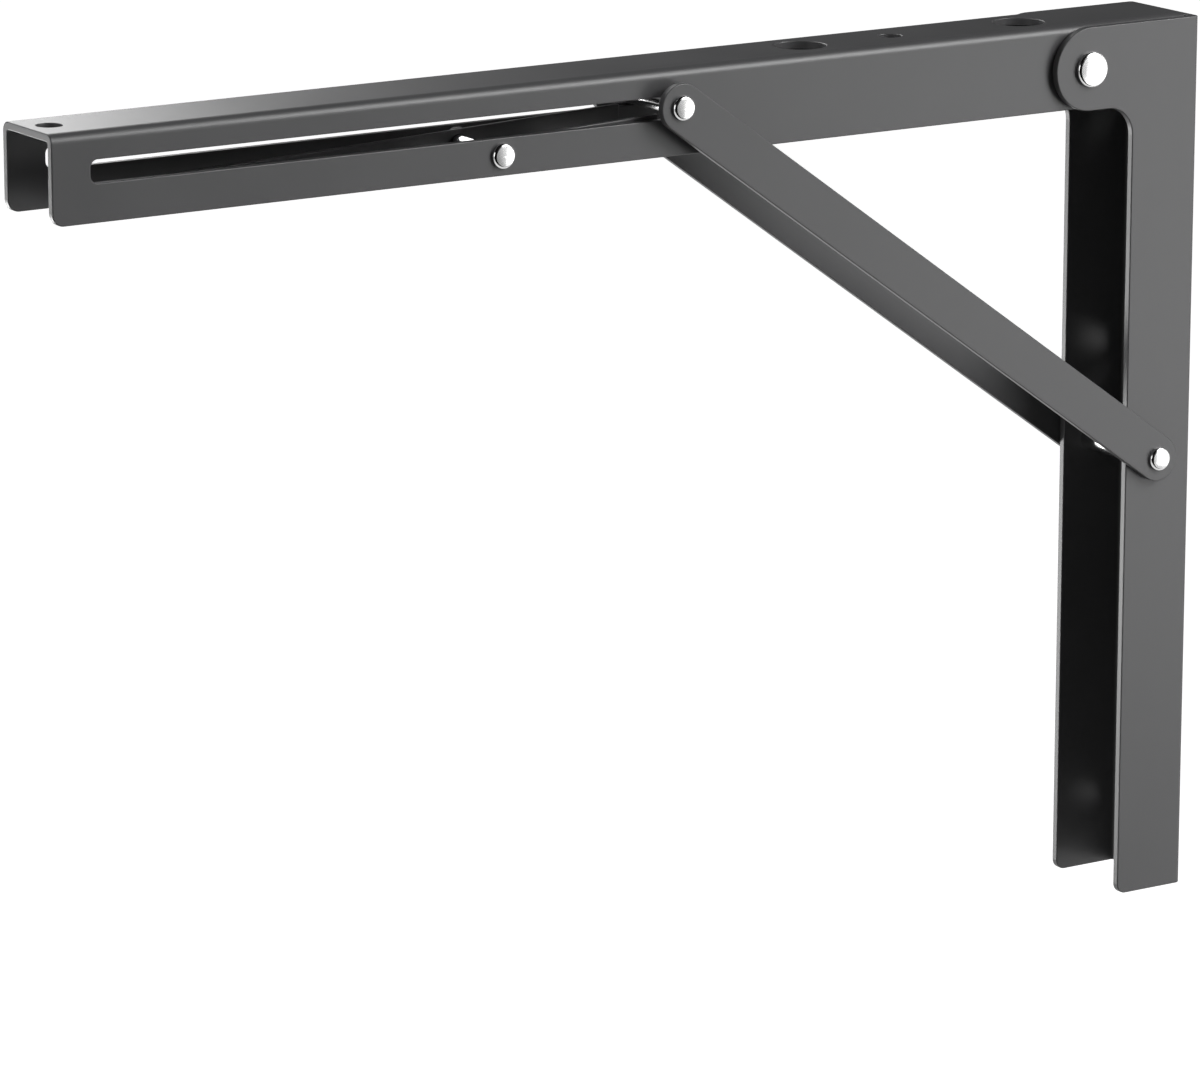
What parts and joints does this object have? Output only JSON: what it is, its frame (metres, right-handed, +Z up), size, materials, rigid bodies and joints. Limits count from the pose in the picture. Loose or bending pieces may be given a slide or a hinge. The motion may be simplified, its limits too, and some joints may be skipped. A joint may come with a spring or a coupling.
{
  "type": "folding shelf bracket",
  "caption": "Folding shelf bracket of folded sheet steel: a shelf arm hinged to a wall leg, held open by a two-bar brace and a sprung latch lever.",
  "frame": {"origin": "corner of the wall plane and the shelf plane, in the bracket's middle plane", "axes": "+X out of the wall face towards the wall, +Z up out of the shelf face, the arm reaches to -X and the rivet heads face -Y"},
  "size_m": [0.305, 0.0328, 0.2136],
  "materials": {
    "powder_coat": "satin powder coat",
    "plated_steel": "bright nickel plate",
    "spring_wire": "drawn wire"
  },
  "bodies": {
    "wall_leg": {"wall_leg": "powder_coat", "hinge_rivet": "plated_steel", "hinge_spacer": "plated_steel", "hinge_washer_front": "plated_steel", "hinge_washer_rear": "plated_steel", "foot_rivet": "plated_steel", "foot_spacer": "plated_steel", "foot_washer_front": "plated_steel", "foot_washer_rear": "plated_steel"},
    "shelf_arm": {"shelf_arm": "powder_coat", "lever_rivet": "plated_steel", "lever_washer_front": "plated_steel", "lever_washer_rear": "plated_steel", "lever_spring": "spring_wire"},
    "release_lever": {"release_lever": "powder_coat"},
    "slide_pin": {"slide_pin": "plated_steel", "slide_spacer_front": "plated_steel", "slide_spacer_rear": "plated_steel"},
    "brace": {"brace_bar_front": "powder_coat", "brace_bar_rear": "powder_coat", "slide_rivet_head": "plated_steel", "slide_rivet_tail": "plated_steel"}
  },
  "joints": [
    {"name": "fold", "type": "hinge", "parent": "wall_leg", "child": "shelf_arm", "pos_m": [-0.0318, 0, -0.0104], "axis": [0, -1, 0], "range_deg": [0, 90]},
    {"name": "brace_turn", "type": "hinge", "parent": "wall_leg", "child": "brace", "pos_m": [-0.0111, 0, -0.1059], "axis": [0, -1, 0], "range_deg": [0, 117.9]},
    {"name": "pin_slide", "type": "slide", "parent": "shelf_arm", "child": "slide_pin", "axis": [-1, 0, 0], "range_m": [0, 0.14593]},
    {"name": "lever_press", "type": "hinge", "parent": "shelf_arm", "child": "release_lever", "pos_m": [-0.1925, 0, -0.01545], "axis": [0, 1, 0], "range_deg": [0, 2.5], "stiffness_Nm_per_rad": 1, "springref_deg": -5.73}
  ],
  "couplings": [
    {"joint": "brace_turn", "follows": "fold", "ratio": 1.3084},
    {"joint": "pin_slide", "follows": "fold", "m_per_rad": 0.092899}
  ]
}
